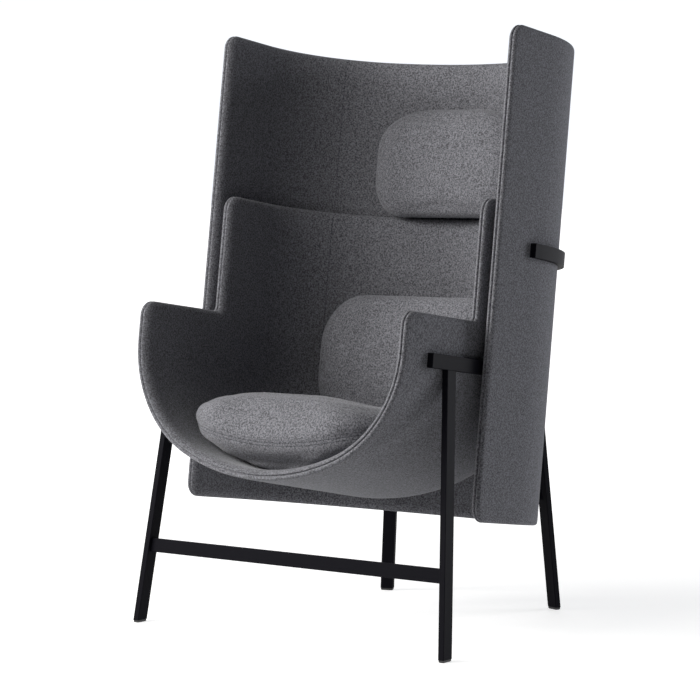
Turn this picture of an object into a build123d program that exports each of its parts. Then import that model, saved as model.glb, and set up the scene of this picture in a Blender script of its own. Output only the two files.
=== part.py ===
from build123d import *
import os
from math import asin, atan2, cos, degrees, radians, sin, sqrt

# High back lounge chair: a bucket shell nested in a tall wrap shell, on a frame of flat steel bar.
# Shells, cushions, arm brackets and back band are drawn upright in a local frame (x, p, q):
# x across, p backwards, q upwards. The local frame then leans back. Left and right are the sitter's.
# All sizes are millimetres and degrees.

# Lean of both shells and of the front legs, and the further drop of the seat towards the back
LEAN = 7.9
SEAT_DROP = 3.0

# U profile of the seat and of both backs, on the seam surface of the bucket
SEAM_HALF_WIDTH = 317.4
BOW_DEPTH = 251.4
BOW_RISE = 18.0
CORNER_R = BOW_DEPTH - BOW_RISE

# Bucket shell: the seat turns up into the back about the bend axis
BEND_P = -66.0
BEND_Q = 510.0
SEAT_FRONT = -432.0
ARM_TOP = 606.0
NOTCH_P = -200.0
BUCKET_TOP = 847.0

# Wrap shell
WRAP_FRONT = -200.0
WRAP_BOTTOM = 222.0
WRAP_TOP = 1184.0

# Layers of the upholstered shells
CORE_T = 10.0
LINING_T = 7.0
COVER_T = 5.0
RIM_WRAP = 5.0
RIM_CORNER_R = 30.0
NOTCH_CORNER_R = 9.0
RIM_ROUND = 5.0

# Flat steel bar
BAR_T = 13.0
BAR_W = 28.0
BAR_EDGE_R = 1.2

# Arm brackets, front legs and front stretcher
BRACKET_Q = 518.0
BRACKET_FRONT = -357.0
BRACKET_REAR = -70.0
FRONT_LEG_P = -292.0
FRONT_SPLAY = 43.1
FRONT_STRETCHER_Z = 157.0

# Back band, rear legs and rear stretcher
BAND_Q = 756.0
BAND_FRONT = -89.0
REAR_FOOT_X = 216.0
REAR_FOOT_Y = 343.0
REAR_TOP_X = 160.0
REAR_STRETCHER_Z = 244.0
REAR_TOP_GAP = 0.6

# Floor glides
GLIDE_H = 5.0
GLIDE_INSET = 1.0
GLIDE_CHAMFER = 1.5

# Socket bolts that hold the shells to the frame
BOLT_D = 6.0
BOLT_HEAD_D = 13.0
BOLT_HEAD_H = 4.0
BOLT_GRIP = 10.0
BOLT_CLEAR = 0.2
BRACKET_BOLT_P = (-330.0, -245.0, -90.0)
WING_BOLT_P = (-170.0, -130.0)
BAND_BOLT_P = -71.0
BAND_BOLT_ANGLE = 10.0

# Cushions: each row is one section, from the side that rests on a shell to the side that faces the sitter.
# A row has the section's distance from the shell, its share of the cushion's half width, how far its low and
# high ends are drawn in, and its corner radius. A section keeps CUSHION_GAP from the shell at its sides.
CUSHION_WADDING = 12.0
CUSHION_GAP = 5.0
SEAT_PAD_HALF_W = 249.0
SEAT_PAD_SETBACK = 30.0
SEAT_PAD_REACH = 0.42
SEAT_ROWS = (
    (2.0, 0.17, 56.0, 95.0, 36.0),
    (14.0, 0.41, 34.0, 60.0, 75.0),
    (36.0, 0.68, 14.0, 25.0, 95.0),
    (66.0, 0.89, 4.0, 6.0, 112.0),
    (96.0, 1.0, 0.0, 0.0, 122.0),
    (120.0, 0.96, 5.0, 6.0, 120.0),
    (142.0, 0.82, 26.0, 32.0, 112.0),
    (155.0, 0.54, 72.0, 82.0, 90.0),
    (159.0, 0.22, 138.0, 148.0, 42.0),
)
LUMBAR_HALF_W = 246.0
LUMBAR_BELOW_BEND = 125.0
LUMBAR_H = 289.0
LUMBAR_ROWS = (
    (14.0, 0.36, 65.0, 70.0, 60.0),
    (38.0, 0.63, 35.0, 30.0, 90.0),
    (74.0, 0.86, 15.0, 8.0, 105.0),
    (108.0, 1.0, 0.0, 0.0, 110.0),
    (126.0, 0.945, 10.0, 10.0, 105.0),
    (136.0, 0.69, 45.0, 40.0, 85.0),
    (140.0, 0.34, 85.0, 80.0, 46.0),
)
HEAD_HALF_W = 190.0
HEAD_BELOW_RIM = 4.0
HEAD_H = 233.0
HEAD_ROWS = (
    (11.0, 0.42, 53.0, 54.0, 55.0),
    (26.0, 0.68, 28.0, 29.0, 66.0),
    (48.0, 0.945, 5.0, 5.0, 74.0),
    (70.0, 1.0, 0.0, 0.0, 76.0),
    (90.0, 0.935, 9.0, 10.0, 74.0),
    (102.0, 0.74, 38.0, 39.0, 64.0),
    (106.0, 0.44, 68.0, 69.0, 43.0),
)

# Offsets from the seam surface of the bucket, outwards positive
BUCKET_INNER = -CORE_T / 2 - LINING_T
BUCKET_OUTER = CORE_T / 2 + COVER_T
WRAP_INNER = BUCKET_OUTER + BAR_T
WRAP_CORE_IN = WRAP_INNER + LINING_T
WRAP_SEAM = WRAP_CORE_IN + CORE_T / 2
WRAP_CORE_OUT = WRAP_CORE_IN + CORE_T
WRAP_OUTER = WRAP_CORE_OUT + COVER_T
BAND_OUTER = WRAP_OUTER + BAR_T
BRACKET_X = SEAM_HALF_WIDTH + BUCKET_OUTER + BAR_T / 2

# Derived places of the U profile: its corner arcs start level with the bend axis
CORNER_X = SEAM_HALF_WIDTH - CORNER_R
BACK_P = BEND_P + BOW_DEPTH
MARGIN = 60.0
REACH = SEAM_HALF_WIDTH + BAND_OUTER + MARGIN


def bow_radius(offset):
    """Radius of the shallow middle arc that is tangent to both corner arcs."""
    depth = BOW_DEPTH + offset
    corner = CORNER_R + offset
    return (CORNER_X**2 + depth**2 - corner**2) / (2 * (depth - corner))


def u_face(offset, start):
    """Face of the U profile, from the line y = start down to its bow. The bend axis is at y = 0."""
    half = SEAM_HALF_WIDTH + offset
    corner = CORNER_R + offset
    bow = bow_radius(offset)
    bottom = BOW_DEPTH + offset
    bow_centre = bottom - bow
    turn = atan2(-bow_centre, CORNER_X)
    joint = (bow * cos(turn), bow_centre + bow * sin(turn))
    middle = (CORNER_X + corner * cos(turn / 2), corner * sin(turn / 2))
    edges = [
        ThreePointArc((half, 0), middle, joint),
        ThreePointArc(joint, (0, bottom), (-joint[0], joint[1])),
        ThreePointArc((-joint[0], joint[1]), (-middle[0], middle[1]), (-half, 0)),
        Line((-half, start), (half, start)),
    ]
    if start < 0:
        edges += [Line((half, start), (half, 0)), Line((-half, 0), (-half, start))]
    return make_face(edges)


def seat_plane():
    """Plane across the seat at the bend axis: x across, y down, normal backwards along the seat."""
    drop = radians(SEAT_DROP)
    return Plane(origin=(0, BEND_P, BEND_Q), x_dir=(1, 0, 0), z_dir=(0, cos(drop), -sin(drop)))


def bucket_fill(offset):
    """Everything inside the bucket surface at an offset: seat trough, bend and back as one filled solid."""
    section = u_face(offset, 0)
    back_plane = Plane(origin=(0, BEND_P, BEND_Q))
    seat_length = (BEND_P - SEAT_FRONT) / cos(radians(SEAT_DROP)) + MARGIN
    back_height = BUCKET_TOP - BEND_Q + MARGIN
    trough = extrude(seat_plane() * section, amount=-seat_length)
    bend = revolve(seat_plane() * section, Axis((0, BEND_P, BEND_Q), (1, 0, 0)), 90 + SEAT_DROP)
    back = extrude(back_plane * section, amount=back_height)
    front_p = BEND_P - seat_length * cos(radians(SEAT_DROP))
    front_q = BEND_Q + seat_length * sin(radians(SEAT_DROP))
    top_q = BEND_Q + back_height
    side = make_face(Polyline((BEND_P, BEND_Q), (front_p, front_q), (front_p, top_q), (BEND_P, top_q), close=True))
    block = extrude(Plane.YZ * side, amount=SEAM_HALF_WIDTH + offset, both=True)
    return trough + bend + back + block


def wrap_fill(offset):
    """Everything inside the wrap surface at an offset, taller and longer than the wrap shell."""
    height = WRAP_TOP - WRAP_BOTTOM + 2 * MARGIN
    plane = Plane(origin=(0, BEND_P, WRAP_BOTTOM - MARGIN))
    return extrude(plane * u_face(offset, WRAP_FRONT - BEND_P - MARGIN), amount=height)


def bucket_side(trim):
    """Side outline of the bucket: arm, notch and back edge, drawn in by trim."""
    front = SEAT_FRONT + trim
    arm = ARM_TOP - trim
    notch = NOTCH_P + trim
    top = BUCKET_TOP - trim
    low = BEND_Q - BOW_DEPTH - BUCKET_OUTER - MARGIN
    rear = BACK_P + REACH
    outline = make_face(Polyline((front, low), (front, arm), (notch, arm), (notch, top), (rear, top), (rear, low),
                                 close=True))
    outer = outline.vertices().filter_by(lambda v: v.Y > low + 1 and v.X < notch + 1 and abs(v.Y - arm) > 1)
    outer += outline.vertices().filter_by(lambda v: v.X < front + 1 and v.Y > low + 1)
    outline = fillet(outer, RIM_CORNER_R - trim)
    inner = outline.vertices().filter_by(lambda v: abs(v.X - notch) < 0.01 and abs(v.Y - arm) < 0.01)
    return fillet(inner, NOTCH_CORNER_R + trim)


def wrap_side(trim):
    """Side outline of the wrap shell: both front corners rounded, drawn in by trim."""
    front = WRAP_FRONT + trim
    low = WRAP_BOTTOM + trim
    top = WRAP_TOP - trim
    rear = BACK_P + REACH
    outline = make_face(Polyline((front, low), (front, top), (rear, top), (rear, low), close=True))
    return fillet(outline.vertices().filter_by(lambda v: v.X < front + 1), RIM_CORNER_R - trim)


def side_slab(outline):
    """A side outline carried across the whole width."""
    return extrude(Plane.YZ * outline, amount=REACH, both=True)


def rounded_rim(shell, outline):
    """Round the long edges of the rim, where the shell's faces meet its side outline."""
    border = (Plane.YZ * outline).wire()
    edges = []
    for edge in shell.edges():
        middle = edge @ 0.5
        across = abs(edge.tangent_at(0.5).X) > 0.99 and edge.geom_type == GeomType.LINE
        if not across and border.distance_to(Vertex(0, middle.Y, middle.Z)) < 0.01:
            edges.append(edge)
    return fillet(edges, RIM_ROUND)


def bolt_on(plane, length):
    """Socket bolt along the plane's normal, from the top of its head."""
    head = extrude(plane * (Circle(BOLT_HEAD_D / 2) - RegularPolygon(BOLT_D * 0.42, 6)), amount=BOLT_HEAD_H)
    shank_plane = plane.offset(BOLT_HEAD_H * 0.6)
    return head + extrude(shank_plane * Circle(BOLT_D / 2), amount=length - BOLT_HEAD_H * 0.6)


def bolt_hole(plane, length):
    """Clearance for a bolt: counterbore for its head and a through hole."""
    bore = extrude(plane * Circle(BOLT_HEAD_D / 2 + BOLT_CLEAR), amount=BOLT_HEAD_H)
    return bore + extrude(plane * Circle(BOLT_D / 2 + BOLT_CLEAR), amount=length)


def thread_hole(plane, length):
    """Tapped hole in the bar for a bolt."""
    return extrude(plane * Circle(BOLT_D / 2), amount=length)


# Bolt planes: the origin is the top of the head, the normal points along the shank
bracket_bolts = []
wing_bolts = []
band_bolts = []
for side in (-1, 1):
    for p in BRACKET_BOLT_P:
        head_x = SEAM_HALF_WIDTH - CORE_T / 2
        bracket_bolts.append(Plane(origin=(side * head_x, p, BRACKET_Q), x_dir=(0, 1, 0), z_dir=(side, 0, 0)))
    for p in WING_BOLT_P:
        head_x = SEAM_HALF_WIDTH + WRAP_CORE_OUT
        wing_bolts.append(Plane(origin=(side * head_x, p, BRACKET_Q), x_dir=(0, 1, 0), z_dir=(-side, 0, 0)))
    head_x = SEAM_HALF_WIDTH + WRAP_CORE_IN
    band_bolts.append(Plane(origin=(side * head_x, BAND_BOLT_P, BAND_Q), x_dir=(0, 0, 1), z_dir=(side, 0, 0)))
    away = (side * sin(radians(BAND_BOLT_ANGLE)), cos(radians(BAND_BOLT_ANGLE)), 0)
    centre_p = BACK_P - bow_radius(0)
    head_r = bow_radius(0) + WRAP_CORE_IN
    band_bolts.append(Plane(origin=(head_r * away[0], centre_p + head_r * away[1], BAND_Q), x_dir=(0, 0, 1),
                            z_dir=away))
BRACKET_BOLT_L = CORE_T + COVER_T + BOLT_GRIP
WING_BOLT_L = CORE_T + LINING_T + BOLT_GRIP
BAND_BOLT_L = CORE_T + COVER_T + BOLT_GRIP


def drilled(solid, planes, length):
    """Cut bolt clearances in a core or in its covers."""
    for plane in planes:
        solid = solid - bolt_hole(plane, length)
    return solid


def tapped(solid, planes, length):
    """Cut tapped holes in a bar."""
    for plane in planes:
        solid = solid - thread_hole(plane, length)
    return solid


def one_solid(shape):
    """The largest solid of a result, without loose crumbs."""
    return shape.solids().sort_by(SortBy.VOLUME)[-1]


def bucket_layers():
    """Core, inside lining and outside cover of the bucket. Lining and cover meet at the seam in the rim."""
    outline = bucket_side(0)
    whole = (bucket_fill(BUCKET_OUTER) - bucket_fill(BUCKET_INNER)) & side_slab(outline)
    whole = rounded_rim(whole, outline)
    core_skin = bucket_fill(CORE_T / 2) - bucket_fill(-CORE_T / 2)
    core = core_skin & side_slab(bucket_side(RIM_WRAP))
    seam = bucket_fill(0)
    lining = (whole & seam) - core
    cover = whole - seam - core
    core = drilled(core, bracket_bolts, BRACKET_BOLT_L)
    cover = drilled(cover, bracket_bolts, BRACKET_BOLT_L)
    return one_solid(core), one_solid(lining), one_solid(cover)


def wrap_layers():
    """Core, inside lining and outside cover of the wrap shell."""
    outline = wrap_side(0)
    whole = (wrap_fill(WRAP_OUTER) - wrap_fill(WRAP_INNER)) & side_slab(outline)
    whole = rounded_rim(whole, outline)
    core = (wrap_fill(WRAP_CORE_OUT) - wrap_fill(WRAP_CORE_IN)) & side_slab(wrap_side(RIM_WRAP))
    seam = wrap_fill(WRAP_SEAM)
    lining = (whole & seam) - core
    cover = whole - seam - core
    core = drilled(core, wing_bolts, WING_BOLT_L)
    core = drilled(core, band_bolts, BAND_BOLT_L)
    lining = drilled(lining, wing_bolts, WING_BOLT_L)
    cover = drilled(cover, band_bolts, BAND_BOLT_L)
    return one_solid(core), one_solid(lining), one_solid(cover)


def leaned(shape):
    """Lean a local solid back and move it so that the origin is under the middle of the chair."""
    return Pos(0, SHIFT_Y, 0) * Rot(-LEAN, 0, 0) * shape


def to_world(x, p, q):
    """A local point in the chair's own frame."""
    lean = radians(LEAN)
    return Vector(x, p * cos(lean) + q * sin(lean) + SHIFT_Y, q * cos(lean) - p * sin(lean))


UNDER = BOW_DEPTH + BUCKET_OUTER
DROP = radians(SEAT_DROP)
RIM_Q = BEND_Q - UNDER * cos(DROP) + (BEND_P - UNDER * sin(DROP) - SEAT_FRONT) * sin(DROP) / cos(DROP)
FRONT_REACH = SEAT_FRONT * cos(radians(LEAN)) + RIM_Q * sin(radians(LEAN))
REAR_REACH = (BACK_P + WRAP_OUTER) * cos(radians(LEAN)) + WRAP_TOP * sin(radians(LEAN))
SHIFT_Y = -(FRONT_REACH + REAR_REACH) / 2


def arm_bracket(side):
    """Flat bar between the two shells, parallel to the seat, with tapped holes for the shells' bolts."""
    length = BRACKET_REAR - BRACKET_FRONT
    bar = Pos(side * BRACKET_X, BRACKET_FRONT + length / 2, BRACKET_Q) * Box(BAR_T, length, BAR_W)
    bar = fillet(bar.edges().filter_by(Axis.Y), BAR_EDGE_R)
    own = [plane for plane in bracket_bolts + wing_bolts if plane.origin.X * side > 0]
    return tapped(bar, own, max(BRACKET_BOLT_L, WING_BOLT_L))


def bar_between(foot, top, wide_way):
    """Flat bar along a line in the chair's frame, longer than the line by MARGIN at both ends."""
    axis = (top - foot).normalized()
    thin_way = axis.cross(wide_way).normalized()
    plane = Plane(origin=foot - axis * MARGIN, x_dir=thin_way, z_dir=axis)
    length = (top - foot).length + 2 * MARGIN
    bar = extrude(plane * Rectangle(BAR_T, BAR_W), amount=length)
    return fillet(bar.edges().filter_by(lambda e: e.length > length / 2), BAR_EDGE_R)


def above(q):
    """Everything above a local level, leaned with the shells."""
    return leaned(Pos(0, 0, q + REACH / 2) * Box(4 * REACH, 4 * REACH, REACH))


def below_feet():
    """Everything below the ends of the legs."""
    return Pos(0, 0, GLIDE_H - REACH / 2) * Box(4 * REACH, 4 * REACH, REACH)


def front_leg_line(side):
    """Foot and top of a front leg: square to the bracket from the side, splayed from the front."""
    top = to_world(side * BRACKET_X, FRONT_LEG_P, BRACKET_Q - BAR_W / 2)
    floor_q = -FRONT_LEG_P * sin(radians(-LEAN)) / cos(radians(LEAN))
    foot = to_world(side * (BRACKET_X + FRONT_SPLAY), FRONT_LEG_P, floor_q)
    return foot, top


def rear_leg_line(side):
    """Foot and top of a rear leg: the top seats under the back band."""
    radius = bow_radius(0) + WRAP_OUTER + BAR_T / 2 + REAR_TOP_GAP
    top_p = BACK_P - bow_radius(0) + sqrt(radius**2 - REAR_TOP_X**2)
    top = to_world(side * REAR_TOP_X, top_p, BAND_Q - BAR_W / 2)
    foot = Vector(side * REAR_FOOT_X, REAR_FOOT_Y + SHIFT_Y, 0)
    return foot, top


REAR_TURN = asin(REAR_TOP_X / (bow_radius(0) + WRAP_OUTER + BAR_T / 2))


def front_leg(side):
    """Front leg with its top cut along the bracket and its foot level."""
    foot, top = front_leg_line(side)
    return one_solid(bar_between(foot, top, Vector(0, 1, 0)) - above(BRACKET_Q - BAR_W / 2) - below_feet())


def rear_leg(side):
    """Rear leg, its wide face turned to follow the back of the wrap shell."""
    foot, top = rear_leg_line(side)
    wide_way = Vector(cos(REAR_TURN), -side * sin(REAR_TURN), 0)
    return one_solid(bar_between(foot, top, wide_way) - above(BAND_Q - BAR_W / 2) - below_feet())


def along(line, z):
    """Point of a leg's line at a height."""
    foot, top = line
    return foot + (top - foot) * ((z - foot.Z) / (top.Z - foot.Z))


def stretcher(line, z, tilt, legs):
    """Flat bar on edge between a pair of legs, its ends cut to the legs' faces."""
    end = along(line, z)
    bar = Box(2 * end.X, BAR_T, BAR_W)
    bar = fillet(bar.edges().filter_by(Axis.X), BAR_EDGE_R)
    bar = Pos(0, end.Y, z) * Rot(-tilt, 0, 0) * bar
    return one_solid(bar - legs[0] - legs[1])


def back_band():
    """Flat bar bent round the back of the wrap shell, with tapped holes for its bolts."""
    start = BAND_FRONT - BEND_P
    ring = u_face(BAND_OUTER, start) - u_face(WRAP_OUTER, start)
    band = extrude(Plane(origin=(0, BEND_P, BAND_Q - BAR_W / 2)) * ring, amount=BAR_W)
    return tapped(band, band_bolts, BAND_BOLT_L)


def glide(line, turn):
    """Plastic foot under a leg."""
    foot = along(line, GLIDE_H)
    block = Box(BAR_T - 2 * GLIDE_INSET, BAR_W - 2 * GLIDE_INSET, GLIDE_H)
    block = chamfer(block.faces().sort_by(Axis.Z)[0].edges(), GLIDE_CHAMFER)
    return Pos(foot.X, foot.Y, GLIDE_H / 2) * Rot(0, 0, turn) * block


def room(offset, distance):
    """Half width of the U profile at an offset, at a distance in from its bow."""
    depth = BOW_DEPTH + offset - distance
    bow = bow_radius(offset)
    bow_centre = BOW_DEPTH + offset - bow
    corner = CORNER_R + offset
    if depth > bow_centre + bow * sin(atan2(-bow_centre, CORNER_X)):
        return sqrt(bow**2 - (depth - bow_centre) ** 2)
    return CORNER_X + sqrt(corner**2 - depth**2)


def sections(rows, offset, half, low, high):
    """Sections of a cushion as distance, half width, low end, high end and corner radius."""
    result = []
    for distance, share, low_in, high_in, corner in rows:
        width = min(half * share, room(offset, distance) - CUSHION_GAP)
        result.append((distance, width, low + low_in, high - high_in, min(corner, width - 1)))
    return result


def drawn_in(rows):
    """Sections of the foam inside a cushion: the same sections drawn in by the wadding on every side."""
    first = rows[0][0]
    last = rows[-1][0]
    scale = 1 - 2 * CUSHION_WADDING / (last - first)
    middle = (first + last) / 2
    result = []
    for distance, half, low, high, corner in rows:
        result.append((middle + (distance - middle) * scale, half - CUSHION_WADDING, low + CUSHION_WADDING,
                       high - CUSHION_WADDING, corner - CUSHION_WADDING))
    return result


def seat_place(distance, middle):
    """Plane of a seat cushion section, square to the seat."""
    plane = seat_plane()
    up = plane.y_dir * -1
    floor = BOW_DEPTH + BUCKET_INNER
    return Plane(origin=plane.origin + up * (distance - floor) + plane.z_dir * middle, x_dir=(1, 0, 0), z_dir=up)


def lumbar_place(distance, middle):
    """Plane of a lumbar cushion section, facing the sitter."""
    return Plane(origin=(0, BACK_P + BUCKET_INNER - distance, middle), x_dir=(1, 0, 0), z_dir=(0, -1, 0))


def head_place(distance, middle):
    """Plane of a head cushion section, facing the sitter."""
    return Plane(origin=(0, BACK_P + WRAP_INNER - distance, middle), x_dir=(1, 0, 0), z_dir=(0, -1, 0))


def stacked(rows, place):
    """Cushion lofted through its sections. place(distance, middle) is the plane of a section."""
    faces = []
    for distance, half, low, high, corner in rows:
        faces.append(place(distance, (low + high) / 2) * RectangleRounded(2 * half, high - low, corner))
    return loft(faces, ruled=True)


def cushion(rows, place):
    """Wadded cover and foam of a cushion."""
    foam = stacked(drawn_in(rows), place)
    return one_solid(stacked(rows, place) - foam), one_solid(foam)


seat_rows = sections(SEAT_ROWS, BUCKET_INNER, SEAT_PAD_HALF_W, SEAT_FRONT - BEND_P + SEAT_PAD_SETBACK,
                     (BOW_DEPTH + BUCKET_INNER) * SEAT_PAD_REACH)
lumbar_low = BEND_Q - LUMBAR_BELOW_BEND
lumbar_rows = sections(LUMBAR_ROWS, BUCKET_INNER, LUMBAR_HALF_W, lumbar_low, lumbar_low + LUMBAR_H)
head_low = BUCKET_TOP - HEAD_BELOW_RIM
head_rows = sections(HEAD_ROWS, WRAP_INNER, HEAD_HALF_W, head_low, head_low + HEAD_H)

parts = {}
layers = ("core", "lining", "cover")
for name, solid in zip(layers, bucket_layers()):
    parts["bucket_" + name] = leaned(solid)
for name, solid in zip(layers, wrap_layers()):
    parts["wrap_" + name] = leaned(solid)
pads = (("seat", seat_rows, seat_place), ("lumbar", lumbar_rows, lumbar_place), ("head", head_rows, head_place))
for name, rows, place in pads:
    cover, foam = cushion(rows, place)
    parts[name + "_cushion_cover"] = leaned(cover)
    parts[name + "_cushion_foam"] = leaned(foam)

for name, side in (("right", -1), ("left", 1)):
    parts["arm_bracket_" + name] = leaned(arm_bracket(side))
    parts["front_leg_" + name] = front_leg(side)
    parts["rear_leg_" + name] = rear_leg(side)
    parts["front_glide_" + name] = glide(front_leg_line(side), 0)
    parts["rear_glide_" + name] = glide(rear_leg_line(side), 90 - side * degrees(REAR_TURN))
parts["front_stretcher"] = stretcher(front_leg_line(1), FRONT_STRETCHER_Z, LEAN,
                                     (parts["front_leg_left"], parts["front_leg_right"]))
parts["rear_stretcher"] = stretcher(rear_leg_line(1), REAR_STRETCHER_Z, 0,
                                    (parts["rear_leg_left"], parts["rear_leg_right"]))
parts["back_band"] = leaned(back_band())
parts["bracket_bolts"] = Compound([leaned(bolt_on(plane, BRACKET_BOLT_L)) for plane in bracket_bolts])
parts["wing_bolts"] = Compound([leaned(bolt_on(plane, WING_BOLT_L)) for plane in wing_bolts])
parts["band_bolts"] = Compound([leaned(bolt_on(plane, BAND_BOLT_L)) for plane in band_bolts])

os.makedirs("parts", exist_ok=True)
for name, shape in parts.items():
    export_step(shape, "parts/" + name + ".step")
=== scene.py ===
from math import atan2, cos, pi, radians, sin, tan

import bmesh
import bpy
import numpy as np
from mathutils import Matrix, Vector

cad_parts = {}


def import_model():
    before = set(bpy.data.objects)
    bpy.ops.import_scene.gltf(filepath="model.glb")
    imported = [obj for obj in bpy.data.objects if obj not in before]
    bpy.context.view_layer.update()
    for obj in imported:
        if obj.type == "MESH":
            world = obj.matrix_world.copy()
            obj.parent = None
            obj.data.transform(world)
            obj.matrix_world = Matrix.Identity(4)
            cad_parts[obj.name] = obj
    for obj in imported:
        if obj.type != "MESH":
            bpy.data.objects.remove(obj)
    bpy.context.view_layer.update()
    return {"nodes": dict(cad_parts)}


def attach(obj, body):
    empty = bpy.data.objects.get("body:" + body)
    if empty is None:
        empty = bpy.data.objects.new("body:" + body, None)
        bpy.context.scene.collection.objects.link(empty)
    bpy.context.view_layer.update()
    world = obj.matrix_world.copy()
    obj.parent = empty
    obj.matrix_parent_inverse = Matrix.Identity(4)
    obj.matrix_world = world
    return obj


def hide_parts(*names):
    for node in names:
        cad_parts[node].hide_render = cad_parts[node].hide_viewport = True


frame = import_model()

MM = 0.001

# Shape of the two upholstered shells, in millimetres, in the chair's leaning frame (x, p back, q up)
LEAN = radians(7.9)
DROP = radians(3.0)
HALF, CORNER, DEPTH = 317.4, 233.4, 251.4
CORNER_X = HALF - CORNER
BOW = (CORNER_X**2 + DEPTH**2 - CORNER**2) / (2 * (DEPTH - CORNER))
BOW_C = DEPTH - BOW
TURN = atan2(-BOW_C, CORNER_X)
AXIS_P, AXIS_Q = -66.0, 510.0
SEAT_FRONT, ARM_TOP, NOTCH, BUCKET_TOP = -432.0, 606.0, -200.0, 847.0
WRAP_SEAM, WRAP_FRONT, WRAP_LOW, WRAP_TOP = 35.0, -200.0, 222.0, 1184.0
ROUND, NOTCH_ROUND = 30.0, 9.0
SHIFT_Y = 0.12

# Section across a rim: how far in from the rim's outermost line, and offset from the seam surface
RIM = (
    (-22.0, -12.0), (-17.5, -11.8), (-13.5, -11.2), (-10.0, -10.3), (-7.0, -9.1), (-4.6, -7.6),
    (-2.6, -5.9), (-1.2, -4.2), (-0.4, -2.8), (-0.2, -1.7), (-1.0, -0.8), (-2.4, -0.1), (-4.4, 0.5),
    (-2.8, 1.2), (-1.5, 2.1), (-0.6, 3.3), (-0.3, 4.7), (-0.7, 6.2), (-1.7, 7.6), (-3.3, 8.8),
    (-5.4, 9.6), (-8.0, 9.9), (-12.0, 10.0),
)
SEAM_OFFSET = 0.5
INSIDE = RIM[0][1]

# How finely the shells are divided
STRAIGHT_STEP, CORNER_STEPS = 25.0, 9
TROUGH_STEPS, BEND_STEPS, BACK_STEPS, WRAP_STEPS = 13, 30, 11, 30

# Felt: its colour, how the light and dark fibres spread about it, its sheen and its nap
TONE = (0.149, 0.150, 0.168)
FIBRE_SCALE = 340
FIBRE_STOPS = ((0.34, 0.45), (0.66, 1.58))
FELT_ROUGH, FELT_GLOSS = 0.95, 0.1
SHEEN, SHEEN_ROUGH, SHEEN_TINT = 0.3, 0.55, (0.75, 0.76, 0.8, 1)
NAP_SCALE, NAP_STRENGTH, NAP_DEPTH = 900, 0.35, 0.0006

# Panel seams of the linings in metres: distance from the middle and the height they start at
WRAP_PANEL_SEAM, BUCKET_PANEL_SEAM = (0.272, 0.45), (0.252, 0.45)
PANEL_SEAM_HALF_W, PANEL_SEAM_SHADE = 0.0008, (0.72, 0.72, 0.74, 1)

# Powder coat grain
GRAIN_SCALE, GRAIN_DEPTH = 1400, 0.0003

# Cushions, in millimetres unless a line says otherwise
CUSHION_VOXEL = 0.006  # metres
PRESSURE, SIM_STEPS = 4, 20
SWELL, REST_SWELL, EDGE_PULL = 4.0, 1.0, 0.5
SHOWN = (-0.4, 0.5)  # turned away from the shown side, turned to it
REMESH_SMOOTH, LENS_SMOOTH, SWELL_SMOOTH = 6, 5, 3  # passes
UP = (0, sin(LEAN), cos(LEAN))
FORE = (0, -cos(LEAN), sin(LEAN))

# Seat cushion: how far it is drawn in over and under its girth seam, and where each change fades in
ROUND_OVER, TUCK_UNDER, CORNER_TUCK, TUCK_POWER = 24.0, 66.0, 44.0, 1.4
MIDDLE_SIDE, ROUND_OVER_RISE = (60, 190), (0, 90)
LOW_BEND, LOW_BEND_NEW = 0.55, 0.40  # share of the trough's half width
LOW_BEND_BELOW, LOW_BEND_FORE = (-10, 20), (130, 260)
CORNER_LIFT, REAR_FALL = 12.0, 27.0
LIFT_SIDE, LIFT_BACK = (185, 245), (-340, -220)
FALL_SIDE, FALL_BACK, FALL_OVER = (130, 215), (-300, -130), (5, 45)
GIRTH_LOW, GIRTH_RISE, GIRTH_HALF_W = 51.0, 43.0, 245.0
GIRTH_WIDTH, GIRTH_DEPTH = 9.0, 2.5
GIRTH_SPACE, STITCH_HALF_W, STITCH_SHADE = 6.0, 0.8, (0.5, 0.5, 0.52, 1)

# Head cushion: rounding of its top corners, and how far below its top that ends and starts
HEAD_BEND, HEAD_BEND_NEW = 76.0, 130.0
HEAD_FALL_END, HEAD_FALL_START = 170, 50

# Stage: view and lamps in metres and watts, the backdrop's strength seen and as a light from behind
VIEW_YAW, VIEW_PITCH = 0.6394, 0.0654
CAMERA_PLACE, LENS, SENSOR = (3.1407, -4.3079, 0.9027), 135.6, 36
WHITE, WARM, COOL = (1, 1, 1, 1), (1.0, 0.985, 0.945), (0.92, 0.95, 1.0, 1)
BACKDROP, BACKLIGHT = 1.1, 4.8
BACKLIGHT_EDGE, BACKLIGHT_CORE = radians(26), radians(14)
FLOOR_SIZE, FLOOR_TONE, FLOOR_ROUGH = 60, (0.6, 0.6, 0.6), 0.9
FLOOR_NEAR, FLOOR_FAR, FLOOR_GLOW, FLOOR_FADE = 0.68, 1.1, 0.12, (1.0, 3.0)
LAMP_AIM, LAMP_SIZE = (0, 0, 0.6), 1.2


def world(point):
    """A point of the leaning frame, in metres in the row frame."""
    x, p, q = point
    return (x * MM, (p * cos(LEAN) + q * sin(LEAN) + SHIFT_Y) * MM, (q * cos(LEAN) - p * sin(LEAN)) * MM)


def u_section(corner_steps=22, bow_steps=26):
    """Points (x, y) of the U profile on the seam surface and their outward normals, from +x round to -x."""
    points, normals = [], []
    for i in range(corner_steps + 1):
        a = TURN * i / corner_steps
        normals.append((cos(a), sin(a)))
        points.append((CORNER_X + CORNER * cos(a), CORNER * sin(a)))
    for i in range(1, bow_steps):
        a = TURN + (pi - 2 * TURN) * i / bow_steps
        normals.append((cos(a), sin(a)))
        points.append((BOW * cos(a), BOW_C + BOW * sin(a)))
    for i in range(corner_steps + 1):
        a = TURN * (1 - i / corner_steps)
        normals.append((-cos(a), sin(a)))
        points.append((-CORNER_X - CORNER * cos(a), CORNER * sin(a)))
    return np.array(points), np.array(normals)


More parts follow.
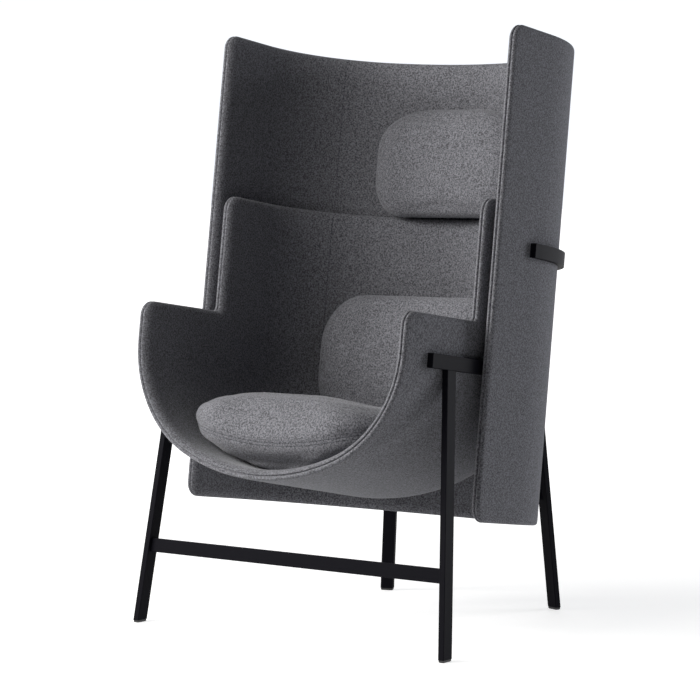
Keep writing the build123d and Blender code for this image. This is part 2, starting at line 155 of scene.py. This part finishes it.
def rounded(path, radii):
    """An open path with its corners rounded: its points, and the normals on its left side."""
    points, normals = [], []
    path = [np.array(p, float) for p in path]

    def straight(a, b, count):
        way = (b - a) / np.linalg.norm(b - a)
        for i in range(count + 1):
            points.append(a + (b - a) * i / count)
            normals.append(np.array((-way[1], way[0])))

    start = path[0]
    for i in range(1, len(path) - 1):
        before = (path[i] - path[i - 1]) / np.linalg.norm(path[i] - path[i - 1])
        after = (path[i + 1] - path[i]) / np.linalg.norm(path[i + 1] - path[i])
        r = radii[i - 1]
        left = before[0] * after[1] - before[1] * after[0] > 0
        angle = np.arccos(np.clip(before @ after, -1, 1))
        cut = r * tan(angle / 2)
        a, b = path[i] - before * cut, path[i] + after * cut
        straight(start, a, max(1, int(np.linalg.norm(a - start) / STRAIGHT_STEP)))
        side = np.array((-before[1], before[0])) * (1 if left else -1)
        centre = a + side * r
        for k in range(1, CORNER_STEPS):
            t = angle * k / CORNER_STEPS * (1 if left else -1)
            d = -side
            d = np.array((d[0] * cos(t) - d[1] * sin(t), d[0] * sin(t) + d[1] * cos(t)))
            points.append(centre + d * r)
            normals.append(d * (-1 if left else 1))
        start = b
    straight(start, path[-1], max(1, int(np.linalg.norm(path[-1] - start) / STRAIGHT_STEP)))
    return points, normals


class Shell:
    """Collects the seam surface of a shell as points with normals, its faces and its rim."""

    def __init__(self):
        self.points, self.normals, self.faces, self.rim = [], [], [], []
        self.known = {}

    def add(self, point, normal):
        key = tuple(round(c, 2) for c in point)
        if key not in self.known:
            self.known[key] = len(self.points)
            self.points.append(np.array(point, float))
            self.normals.append(np.array(normal, float))
        return self.known[key]

    def face(self, corners):
        ring = [c for i, c in enumerate(corners) if c != corners[i - 1]]
        if len(ring) > 2:
            self.faces.append(ring)

    def grid(self, rows):
        for low, high in zip(rows, rows[1:]):
            for i in range(len(low) - 1):
                self.face([low[i], low[i + 1], high[i + 1], high[i]])

    def mesh(self, name, inside, outside):
        """The shell as one closed mesh: inside face, rolled rim with its seam, outside face."""
        points, normals = np.array(self.points), np.array(self.normals)
        rim_of = {index: np.array(way, float) for index, way in self.rim}
        loop = [index for index, way in self.rim]
        verts, faces, slots = [], [], []

        def layer(offset, drawn):
            ids = {}
            for i, (point, normal) in enumerate(zip(points, normals)):
                place = point + normal * offset
                if i in rim_of:
                    place = place + rim_of[i] * drawn
                ids[i] = len(verts)
                verts.append(world(place))
            return ids

        inner = layer(RIM[0][1], RIM[0][0])
        outer = layer(RIM[-1][1], RIM[-1][0])
        for ring in self.faces:
            faces.append([inner[i] for i in ring])
            slots.append(0)
            faces.append([outer[i] for i in reversed(ring)])
            slots.append(1)
        strips = [[inner[i] for i in loop]]
        for drawn, offset in RIM[1:-1]:
            row = []
            for i in loop:
                row.append(len(verts))
                verts.append(world(points[i] + normals[i] * offset + rim_of[i] * drawn))
            strips.append(row)
        strips.append([outer[i] for i in loop])
        count = len(loop)
        for k, (low, high) in enumerate(zip(strips, strips[1:])):
            for i in range(count):
                j = (i + 1) % count
                faces.append([low[i], low[j], high[j], high[i]])
                slots.append(0 if RIM[k][1] < SEAM_OFFSET else 1)
        mesh = bpy.data.meshes.new(name)
        mesh.from_pydata(verts, [], faces)
        mesh.materials.append(inside)
        mesh.materials.append(outside)
        mesh.polygons.foreach_set("material_index", slots)
        mesh.polygons.foreach_set("use_smooth", [True] * len(faces))
        work = bmesh.new()
        work.from_mesh(mesh)
        bmesh.ops.recalc_face_normals(work, faces=work.faces)
        work.to_mesh(mesh)
        work.free()
        mesh.update()
        obj = bpy.data.objects.new(name, mesh)
        bpy.context.collection.objects.link(obj)
        return obj


def flat_sides(shell, rows, half, edge, ways):
    """Close both flat sides between their outline and the ends of the rows, and give the rim of each."""
    rims = {}
    for side, column in ((1, 0), (-1, -1)):
        outline = [shell.add((side * half, p, q), (side, 0, 0)) for p, q in edge]
        ring = outline + [r[column] for r in rows][::-1]
        clean = [c for i, c in enumerate(ring) if c != ring[i - 1]]
        shell.faces.append(clean if side < 0 else clean[::-1])
        rims[side] = [(index, (0, way[0], way[1])) for index, way in zip(outline, ways)]
    return rims


def once(loop):
    """A closed loop with each point named once."""
    seen, result = set(), []
    for index, way in loop:
        if index not in seen:
            seen.add(index)
            result.append((index, way))
    return result


def bucket_shell(inside, outside):
    """The seat shell: trough, bend and back in one sweep of the U profile, with flat sides to the arms."""
    shell = Shell()
    section, across = u_section()
    down = np.array((-sin(DROP), -cos(DROP)))
    fore = np.array((-cos(DROP), sin(DROP)))
    axis = np.array((AXIS_P, AXIS_Q))
    rows = []

    def row(places):
        rows.append([shell.add(point, normal) for point, normal in places])

    for k in range(TROUGH_STEPS):
        places = []
        for (x, y), (nx, ny) in zip(section, across):
            length = (axis[0] + y * down[0] - SEAT_FRONT) / cos(DROP)
            at = axis + down * y + fore * length * (1 - k / TROUGH_STEPS)
            places.append(((x, at[0], at[1]), (nx, ny * down[0], ny * down[1])))
        row(places)
    for k in range(BEND_STEPS + 1):
        a = -pi / 2 - DROP + (pi / 2 + DROP) * k / BEND_STEPS
        way = np.array((cos(a), sin(a)))
        places = []
        for (x, y), (nx, ny) in zip(section, across):
            at = axis + way * y
            places.append(((x, at[0], at[1]), (nx, ny * way[0], ny * way[1])))
        row(places)
    for k in range(1, BACK_STEPS + 1):
        q = AXIS_Q + (BUCKET_TOP - AXIS_Q) * k / BACK_STEPS
        row([((x, AXIS_P + y, q), (nx, ny, 0)) for (x, y), (nx, ny) in zip(section, across)])
    shell.grid(rows)
    front_q = AXIS_Q + (AXIS_P - SEAT_FRONT) * tan(DROP)
    path = [(SEAT_FRONT, front_q), (SEAT_FRONT, ARM_TOP), (NOTCH, ARM_TOP)]
    path += [(NOTCH, BUCKET_TOP), (AXIS_P, BUCKET_TOP)]
    edge, ways = rounded(path, (ROUND, NOTCH_ROUND, ROUND))
    rims = flat_sides(shell, rows, HALF, edge, ways)
    loop = [(index, (0, -1, 0)) for index in rows[0][::-1]]
    loop += rims[1]
    loop += [(index, (0, 0, 1)) for index in rows[-1]]
    loop += rims[-1][::-1]
    shell.rim = once(loop)
    return shell.mesh("bucket_upholstery", inside, outside)


def wrap_shell(inside, outside):
    """The tall outer shell: the U profile carried straight up, with flat wings."""
    shell = Shell()
    section, across = u_section()
    section = section + across * WRAP_SEAM
    rows = []
    for k in range(WRAP_STEPS + 1):
        q = WRAP_LOW + (WRAP_TOP - WRAP_LOW) * k / WRAP_STEPS
        places = [((x, AXIS_P + y, q), (nx, ny, 0)) for (x, y), (nx, ny) in zip(section, across)]
        rows.append([shell.add(point, normal) for point, normal in places])
    shell.grid(rows)
    path = [(AXIS_P, WRAP_LOW), (WRAP_FRONT, WRAP_LOW), (WRAP_FRONT, WRAP_TOP), (AXIS_P, WRAP_TOP)]
    edge, ways = rounded(path, (ROUND, ROUND))
    rims = flat_sides(shell, rows, HALF + WRAP_SEAM, edge, ways)
    loop = [(index, (0, 0, -1)) for index in rows[0][::-1]]
    loop += rims[1]
    loop += [(index, (0, 0, 1)) for index in rows[-1]]
    loop += rims[-1][::-1]
    shell.rim = once(loop)
    return shell.mesh("wrap_upholstery", inside, outside)


def node(tree, kind, **values):
    """Add a shader node and set its inputs by name."""
    made = tree.nodes.new(kind)
    for key, value in values.items():
        if key in made.inputs:
            made.inputs[key].default_value = value
        else:
            setattr(made, key, value)
    return made


def felt(name, tone, panel_seam=None):
    """Grey melange wool felt: light and dark fibres mixed at millimetre scale, with a soft nap."""
    mat = bpy.data.materials.new(name)
    mat.use_nodes = True
    tree = mat.node_tree
    bsdf = tree.nodes["Principled BSDF"]
    bsdf.inputs["Roughness"].default_value = FELT_ROUGH
    bsdf.inputs["Specular IOR Level"].default_value = FELT_GLOSS
    bsdf.inputs["Sheen Weight"].default_value = SHEEN
    bsdf.inputs["Sheen Roughness"].default_value = SHEEN_ROUGH
    bsdf.inputs["Sheen Tint"].default_value = SHEEN_TINT
    coords = tree.nodes.new("ShaderNodeTexCoord")
    fibre = node(tree, "ShaderNodeTexNoise", Scale=FIBRE_SCALE, Detail=1.5, Roughness=0.5)
    tree.links.new(coords.outputs["Object"], fibre.inputs["Vector"])
    ramp = tree.nodes.new("ShaderNodeValToRGB")
    for stop, (place, share) in zip(ramp.color_ramp.elements, FIBRE_STOPS):
        stop.position = place
        stop.color = tuple(c * share for c in tone) + (1,)
    tree.links.new(fibre.outputs["Fac"], ramp.inputs["Fac"])
    colour = ramp.outputs["Color"]
    nap = node(tree, "ShaderNodeTexNoise", Scale=NAP_SCALE, Detail=3)
    tree.links.new(coords.outputs["Object"], nap.inputs["Vector"])
    bump = node(tree, "ShaderNodeBump", Strength=NAP_STRENGTH, Distance=NAP_DEPTH)
    tree.links.new(nap.outputs["Fac"], bump.inputs["Height"])
    if panel_seam:
        colour = seam_line(tree, coords, colour, *panel_seam)
    tree.links.new(colour, bsdf.inputs["Base Color"])
    tree.links.new(bump.outputs["Normal"], bsdf.inputs["Normal"])
    return mat


def seam_line(tree, coords, colour, place, above):
    """Darken a fine line each side of the middle, above a height, where two lining panels are joined."""
    split = tree.nodes.new("ShaderNodeSeparateXYZ")
    tree.links.new(coords.outputs["Object"], split.inputs["Vector"])
    side = node(tree, "ShaderNodeMath", operation="ABSOLUTE")
    tree.links.new(split.outputs["X"], side.inputs[0])
    near = node(tree, "ShaderNodeMath", operation="COMPARE")
    near.inputs[1].default_value = place
    near.inputs[2].default_value = PANEL_SEAM_HALF_W
    tree.links.new(side.outputs[0], near.inputs[0])
    high = node(tree, "ShaderNodeMath", operation="GREATER_THAN")
    high.inputs[1].default_value = above
    tree.links.new(split.outputs["Z"], high.inputs[0])
    both = node(tree, "ShaderNodeMath", operation="MULTIPLY")
    tree.links.new(near.outputs[0], both.inputs[0])
    tree.links.new(high.outputs[0], both.inputs[1])
    mix = node(tree, "ShaderNodeMix", data_type="RGBA", blend_type="MULTIPLY")
    tree.links.new(both.outputs[0], mix.inputs["Factor"])
    tree.links.new(colour, mix.inputs[6])
    mix.inputs[7].default_value = PANEL_SEAM_SHADE
    return mix.outputs[2]


def plain(name, colour, rough, metal=0.0, gloss=0.5, grain=0.0):
    """A plain finish, with a fine powder-coat grain if asked for."""
    mat = bpy.data.materials.new(name)
    mat.use_nodes = True
    tree = mat.node_tree
    bsdf = tree.nodes["Principled BSDF"]
    bsdf.inputs["Base Color"].default_value = colour + (1,)
    bsdf.inputs["Roughness"].default_value = rough
    bsdf.inputs["Metallic"].default_value = metal
    bsdf.inputs["Specular IOR Level"].default_value = gloss
    if grain:
        coords = tree.nodes.new("ShaderNodeTexCoord")
        noise = tree.nodes.new("ShaderNodeTexNoise")
        noise.inputs["Scale"].default_value = GRAIN_SCALE
        tree.links.new(coords.outputs["Object"], noise.inputs["Vector"])
        bump = tree.nodes.new("ShaderNodeBump")
        bump.inputs["Strength"].default_value = grain
        bump.inputs["Distance"].default_value = GRAIN_DEPTH
        tree.links.new(noise.outputs["Fac"], bump.inputs["Height"])
        tree.links.new(bump.outputs["Normal"], bsdf.inputs["Normal"])
    return mat


felt_wrap_in = felt("felt_wrap_lining", TONE, WRAP_PANEL_SEAM)
felt_wrap_out = felt("felt_wrap_cover", TONE)
felt_bucket_in = felt("felt_bucket_lining", TONE, BUCKET_PANEL_SEAM)
felt_bucket_out = felt("felt_bucket_cover", TONE)
felt_cushion = felt("felt_cushion", TONE)
steel = plain("black_powder_coat", (0.0042, 0.0040, 0.0062), 0.55, gloss=0.04, grain=0.15)
nylon = plain("black_nylon", (0.012, 0.012, 0.012), 0.55)
zinc = plain("zinc_bolt", (0.5, 0.5, 0.5), 0.35, metal=1.0)
ply = plain("plywood", (0.55, 0.4, 0.25), 0.6)
foam_look = plain("foam", (0.8, 0.75, 0.6), 0.9)

for name, obj in frame["nodes"].items():
    if name.endswith("_core"):
        look = ply
    elif name.endswith("_foam"):
        look = foam_look
    elif name.endswith("_bolts"):
        look = zinc
    elif "_glide_" in name:
        look = nylon
    elif name.endswith(("_lining", "_cover")):
        look = felt_cushion
    else:
        look = steel
    obj.data.materials.clear()
    obj.data.materials.append(look)

bucket = bucket_shell(felt_bucket_in, felt_bucket_out)
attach(bucket, "chair")
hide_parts("bucket_lining", "bucket_cover")
wrap = wrap_shell(felt_wrap_in, felt_wrap_out)
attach(wrap, "chair")
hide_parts("wrap_lining", "wrap_cover")


def outside_of(source, name):
    """A new object with the outside face of a hollow cover."""
    obj = bpy.data.objects.new(name, source.data.copy())
    bpy.context.collection.objects.link(obj)
    work = bmesh.new()
    work.from_mesh(obj.data)
    bmesh.ops.remove_doubles(work, verts=work.verts, dist=1e-6)
    shells = []
    left = set(work.verts)
    while left:
        stack = [left.pop()]
        group = set(stack)
        while stack:
            for edge in stack.pop().link_edges:
                for vert in edge.verts:
                    if vert in left:
                        left.remove(vert)
                        group.add(vert)
                        stack.append(vert)
        shells.append(group)
    shells.sort(key=lambda g: max(v.co.x for v in g))
    for group in shells[:-1]:
        bmesh.ops.delete(work, geom=list(group), context="VERTS")
    work.to_mesh(obj.data)
    work.free()
    obj.data.materials.clear()
    return obj


def applied(obj, kind, **values):
    """Add a modifier, set it up and leave its result in the mesh."""
    modifier = obj.modifiers.new("shape", kind)
    for key, value in values.items():
        setattr(modifier, key, value)
    with bpy.context.temp_override(object=obj, active_object=obj, selected_objects=[obj]):
        bpy.ops.object.modifier_apply(modifier="shape")


def places(obj):
    """Vertex positions of a mesh as rows."""
    flat = np.empty(len(obj.data.vertices) * 3)
    obj.data.vertices.foreach_get("co", flat)
    return flat.reshape(-1, 3)


def outward(obj):
    """Vertex normals of a mesh as rows."""
    flat = np.empty(len(obj.data.vertices) * 3)
    obj.data.vertices.foreach_get("normal", flat)
    return flat.reshape(-1, 3)


def move(obj, rows):
    """Put the vertices of a mesh in new places."""
    obj.data.vertices.foreach_set("co", rows.ravel())
    obj.data.update()


def blown_up(obj, front):
    """Blow a closed mesh up with a cloth simulation and keep how far it swells along its own normals.

    It swells most on the side that front points to, less where it rests, and its edges stay out.
    """
    start, normals = places(obj), outward(obj)
    cloth = obj.modifiers.new("cloth", "CLOTH")
    cloth.settings.quality = 5
    cloth.settings.mass = 0.3
    cloth.settings.tension_stiffness = 15
    cloth.settings.compression_stiffness = 15
    cloth.settings.shear_stiffness = 5
    cloth.settings.bending_stiffness = 3
    cloth.settings.use_pressure = True
    cloth.settings.uniform_pressure_force = PRESSURE
    cloth.settings.effector_weights.gravity = 0
    cloth.point_cache.frame_start = 1
    cloth.point_cache.frame_end = SIM_STEPS
    for step in range(1, SIM_STEPS + 1):
        bpy.context.scene.frame_set(step)
    with bpy.context.temp_override(object=obj, active_object=obj, selected_objects=[obj]):
        bpy.ops.object.modifier_apply(modifier="cloth")
    bpy.context.scene.frame_set(1)
    swell = np.sum((places(obj) - start) * normals, axis=1)
    shown = ease(normals @ np.array(front), *SHOWN)
    limit = (REST_SWELL + (SWELL - REST_SWELL) * shown) * MM
    move(obj, start + normals * np.clip(swell, -EDGE_PULL * MM, limit)[:, None])
    applied(obj, "SMOOTH", factor=0.5, iterations=SWELL_SMOOTH)


def leaning(rows):
    """World positions in metres as x, p, q in millimetres in the leaning frame."""
    x, y, z = rows.T / MM
    y = y - SHIFT_Y
    return x, y * cos(LEAN) - z * sin(LEAN), y * sin(LEAN) + z * cos(LEAN)


def above_trough(rows):
    """Height over the bottom of the seat trough and distance back from the bend axis, in millimetres."""
    _, p, q = leaning(rows)
    down = (AXIS_Q - q) * cos(DROP) - (p - AXIS_P) * sin(DROP)
    back = (p - AXIS_P) * cos(DROP) - (AXIS_Q - q) * sin(DROP)
    return DEPTH + INSIDE - down, back


def ease(value, low, high):
    """Smooth step from 0 at low to 1 at high."""
    t = np.clip((value - low) / (high - low), 0, 1)
    return t * t * (3 - 2 * t)


def over_girth(rows):
    """Height over the seat cushion's girth seam, which is lowest in the middle and rises to the sides."""
    seam = GIRTH_LOW + GIRTH_RISE * (rows[:, 0] / MM / GIRTH_HALF_W) ** 2
    return above_trough(rows)[0] - seam


def trough_room(height):
    """Half the width inside the seat trough at a height over its bottom."""
    bow, corner, depth = BOW + INSIDE, CORNER + INSIDE, DEPTH + INSIDE
    height = np.clip(height, 1, depth)
    low = np.sqrt(height * (2 * bow - height))
    high = CORNER_X + np.sqrt(np.clip(corner**2 - (depth - height) ** 2, 0, None))
    return np.where(height < depth - corner * sin(TURN), low, high)


def recess(side, half, bend):
    """How far a rounded corner falls back from the front, at a distance from the middle."""
    into = np.clip(side - (half - bend), 0, bend)
    return bend - np.sqrt(bend ** 2 - into ** 2)


def lens_shaped(obj):
    """Make the seat cushion widest along its girth seam: rounded off above it, tucked under below it.

    Its low corners fill the trough, its crown is near the front and its sides lie up against the shell.
    """
    rows, normals = places(obj), outward(obj)
    over = over_girth(rows)
    height, back = above_trough(rows)
    side = np.abs(rows[:, 0]) / MM
    rise = normals @ np.array(UP)
    level = normals - rise[:, None] * np.array(UP)
    middle = 1 - ease(side, *MIDDLE_SIDE)
    inset = ROUND_OVER * middle * ease(over, *ROUND_OVER_RISE)
    tuck = CORNER_TUCK + (TUCK_UNDER - CORNER_TUCK) * middle
    inset += tuck * np.clip(-over / GIRTH_LOW, 0, 1) ** TUCK_POWER
    rows = rows - level * (inset * MM)[:, None]
    room = trough_room(height)
    fore = recess(side, room, LOW_BEND * room) - recess(side, room, LOW_BEND_NEW * room)
    fore *= ease(-over, *LOW_BEND_BELOW) * ease(-back, *LOW_BEND_FORE)
    rows[:, 1] -= fore * cos(LEAN) * MM
    rows[:, 2] += fore * sin(LEAN) * MM
    lift = CORNER_LIFT * ease(side, *LIFT_SIDE) * ease(back, *LIFT_BACK)
    lift -= REAR_FALL * ease(back, *FALL_BACK) * (1 - ease(side, *FALL_SIDE)) * ease(over, *FALL_OVER)
    rows += lift[:, None] * np.array(UP) * MM
    move(obj, rows)
    applied(obj, "SMOOTH", factor=0.5, iterations=LENS_SMOOTH)


def wide_corners(obj):
    """Let the top edge of the head cushion fall away over a wider, flatter corner at each end."""
    rows = places(obj)
    x, _, q = leaning(rows)
    side, top = np.abs(x), q.max()
    into_old = np.clip((side - side.max()) / HEAD_BEND + 1, 0, 1)
    into_new = np.clip((side - side.max()) / HEAD_BEND_NEW + 1, 0, 1)
    fall = HEAD_BEND * (np.sqrt(1 - into_old**2) - np.sqrt(1 - into_new**2))
    fall *= ease(q, top - HEAD_FALL_END, top - HEAD_FALL_START)
    rows -= fall[:, None] * np.array(UP) * MM
    move(obj, rows)


def sewn_girth(obj):
    """Draw the seat cushion in along its girth seam."""
    rows = places(obj)
    pull = GIRTH_DEPTH * np.exp(-((over_girth(rows) / GIRTH_WIDTH) ** 2))
    move(obj, rows - outward(obj) * (pull * MM)[:, None])


def girth_lines(mat):
    """Two stitched lines along the girth seam, in the felt of the seat cushion."""
    tree = mat.node_tree
    bsdf = tree.nodes["Principled BSDF"]
    colour = bsdf.inputs["Base Color"].links[0].from_socket
    coords = tree.nodes.new("ShaderNodeTexCoord")
    split = tree.nodes.new("ShaderNodeSeparateXYZ")
    tree.links.new(coords.outputs["Object"], split.inputs["Vector"])
    level = np.array([above_trough(np.array([row]))[0][0] for row in ((0, 0, 0), (0, 1, 0), (0, 0, 1))])
    slope = node(tree, "ShaderNodeVectorMath", operation="DOT_PRODUCT")
    tree.links.new(coords.outputs["Object"], slope.inputs[0])
    slope.inputs[1].default_value = (0, level[1] - level[0], level[2] - level[0])

    def step(operation, first, second=None, third=None):
        made = node(tree, "ShaderNodeMath", operation=operation)
        for socket, value in zip(made.inputs, (first, second, third)):
            if isinstance(value, bpy.types.NodeSocket):
                tree.links.new(value, socket)
            elif value is not None:
                socket.default_value = value
        return made.outputs[0]

    across = step("MULTIPLY", split.outputs["X"], 1 / (GIRTH_HALF_W * MM))
    rise = step("MULTIPLY", step("MULTIPLY", across, across), GIRTH_RISE)
    over = step("SUBTRACT", step("ADD", slope.outputs["Value"], float(level[0]) - GIRTH_LOW), rise)
    line = step("COMPARE", step("ABSOLUTE", over), GIRTH_SPACE / 2, STITCH_HALF_W)
    mix = node(tree, "ShaderNodeMix", data_type="RGBA", blend_type="MULTIPLY")
    tree.links.new(line, mix.inputs["Factor"])
    tree.links.new(colour, mix.inputs[6])
    mix.inputs[7].default_value = STITCH_SHADE
    tree.links.new(mix.outputs[2], bsdf.inputs["Base Color"])


def cushion(name, look, front, shaped=None, sewn=None):
    """A stuffed cushion: its solid, blown up by a cloth simulation, then sewn."""
    obj = outside_of(frame["nodes"][name + "_cover"], name)
    obj.data.materials.append(look)
    applied(obj, "REMESH", mode="VOXEL", voxel_size=CUSHION_VOXEL)
    applied(obj, "SMOOTH", factor=0.5, iterations=REMESH_SMOOTH)
    if shaped:
        shaped(obj)
    blown_up(obj, front)
    applied(obj, "SUBSURF", levels=1)
    if sewn:
        sewn(obj)
    for polygon in obj.data.polygons:
        polygon.use_smooth = True
    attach(obj, name)
    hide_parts(name + "_cover", name + "_foam")


felt_seat = felt("felt_seat_cushion", TONE)
girth_lines(felt_seat)
cushion("seat_cushion", felt_seat, UP, lens_shaped, sewn_girth)
cushion("lumbar_cushion", felt_cushion, FORE)
cushion("head_cushion", felt_cushion, FORE, wide_corners)

scene = bpy.context.scene
scene.view_settings.view_transform = "Standard"
scene.view_settings.look = "None"


def seen_or_lit(tree, seen, lit):
    """One strength for what the camera and reflections see, another for the light that it gives."""
    path = tree.nodes.new("ShaderNodeLightPath")
    direct = node(tree, "ShaderNodeMath", operation="ADD")
    tree.links.new(path.outputs["Is Camera Ray"], direct.inputs[0])
    tree.links.new(path.outputs["Is Glossy Ray"], direct.inputs[1])
    every = node(tree, "ShaderNodeMath", operation="ADD", use_clamp=True)
    tree.links.new(direct.outputs[0], every.inputs[0])
    tree.links.new(path.outputs["Is Transmission Ray"], every.inputs[1])
    mix = node(tree, "ShaderNodeMix", data_type="FLOAT")
    tree.links.new(every.outputs[0], mix.inputs["Factor"])
    for socket, value in zip(mix.inputs[2:4], (lit, seen)):
        if isinstance(value, bpy.types.NodeSocket):
            tree.links.new(value, socket)
        else:
            socket.default_value = value
    return mix.outputs[0]


def studio_world():
    """A white backdrop all round, which lights the chair only from behind it."""
    look = bpy.data.worlds.new("studio")
    look.use_nodes = True
    tree = look.node_tree
    coords = tree.nodes.new("ShaderNodeTexCoord")
    behind = node(tree, "ShaderNodeVectorMath", operation="DOT_PRODUCT")
    tree.links.new(coords.outputs["Generated"], behind.inputs[0])
    behind.inputs[1].default_value = (-sin(VIEW_YAW), cos(VIEW_YAW), 0)
    glow = tree.nodes.new("ShaderNodeMapRange")
    glow.inputs["From Min"].default_value = cos(BACKLIGHT_EDGE)
    glow.inputs["From Max"].default_value = cos(BACKLIGHT_CORE)
    glow.inputs["To Min"].default_value = 0
    glow.inputs["To Max"].default_value = BACKLIGHT
    tree.links.new(behind.outputs["Value"], glow.inputs["Value"])
    strength = seen_or_lit(tree, BACKDROP, glow.outputs["Result"])
    tree.links.new(strength, tree.nodes["Background"].inputs["Strength"])
    tree.nodes["Background"].inputs["Color"].default_value = COOL
    return look


def studio_floor():
    """A pale floor that is seen white, more so further out, keeps the chair's shadow and glows a little."""
    mesh = bpy.data.meshes.new("floor")
    corners = [(x * FLOOR_SIZE, y * FLOOR_SIZE, 0) for x, y in ((-1, -1), (1, -1), (1, 1), (-1, 1))]
    mesh.from_pydata(corners, [], [(0, 1, 2, 3)])
    obj = bpy.data.objects.new("floor", mesh)
    bpy.context.collection.objects.link(obj)
    look = plain("floor", FLOOR_TONE, FLOOR_ROUGH)
    tree = look.node_tree
    bsdf = tree.nodes["Principled BSDF"]
    bsdf.inputs["Emission Color"].default_value = WHITE
    coords = tree.nodes.new("ShaderNodeTexCoord")
    reach = node(tree, "ShaderNodeVectorMath", operation="LENGTH")
    tree.links.new(coords.outputs["Object"], reach.inputs[0])
    fade = tree.nodes.new("ShaderNodeMapRange")
    fade.inputs["From Min"].default_value = FLOOR_FADE[0]
    fade.inputs["From Max"].default_value = FLOOR_FADE[1]
    fade.inputs["To Min"].default_value = FLOOR_NEAR
    fade.inputs["To Max"].default_value = FLOOR_FAR
    tree.links.new(reach.outputs["Value"], fade.inputs["Value"])
    strength = seen_or_lit(tree, fade.outputs["Result"], FLOOR_GLOW)
    tree.links.new(strength, bsdf.inputs["Emission Strength"])
    mesh.materials.append(look)


def area_light(name, place, size, power, colour):
    """A soft box aimed at the middle of the chair."""
    data = bpy.data.lights.new(name, "AREA")
    data.shape = "SQUARE"
    data.size = size
    data.energy = power
    data.color = colour
    lamp = bpy.data.objects.new(name, data)
    bpy.context.collection.objects.link(lamp)
    lamp.location = place
    lamp.rotation_euler = (Vector(LAMP_AIM) - Vector(place)).to_track_quat("-Z", "Y").to_euler()


scene.world = studio_world()
studio_floor()
area_light("soft_box_left", (-3.0, -2.4, 2.0), LAMP_SIZE, 117, WARM)
area_light("soft_box_left_front", (-1.6, -3.0, 2.2), LAMP_SIZE, 57, WARM)
area_light("soft_box_front", (-0.6, -3.4, 3.0), LAMP_SIZE, 60, WARM)
area_light("soft_box_rear", (2.0, 2.6, 0.9), 1.4, 40, (0.97, 0.98, 1.0))

camera_data = bpy.data.cameras.new("photo")
camera_data.sensor_width = SENSOR
camera_data.lens = LENS
camera = bpy.data.objects.new("photo", camera_data)
bpy.context.collection.objects.link(camera)
camera.location = CAMERA_PLACE
camera.rotation_euler = (pi / 2 - VIEW_PITCH, 0, VIEW_YAW)
scene.camera = camera
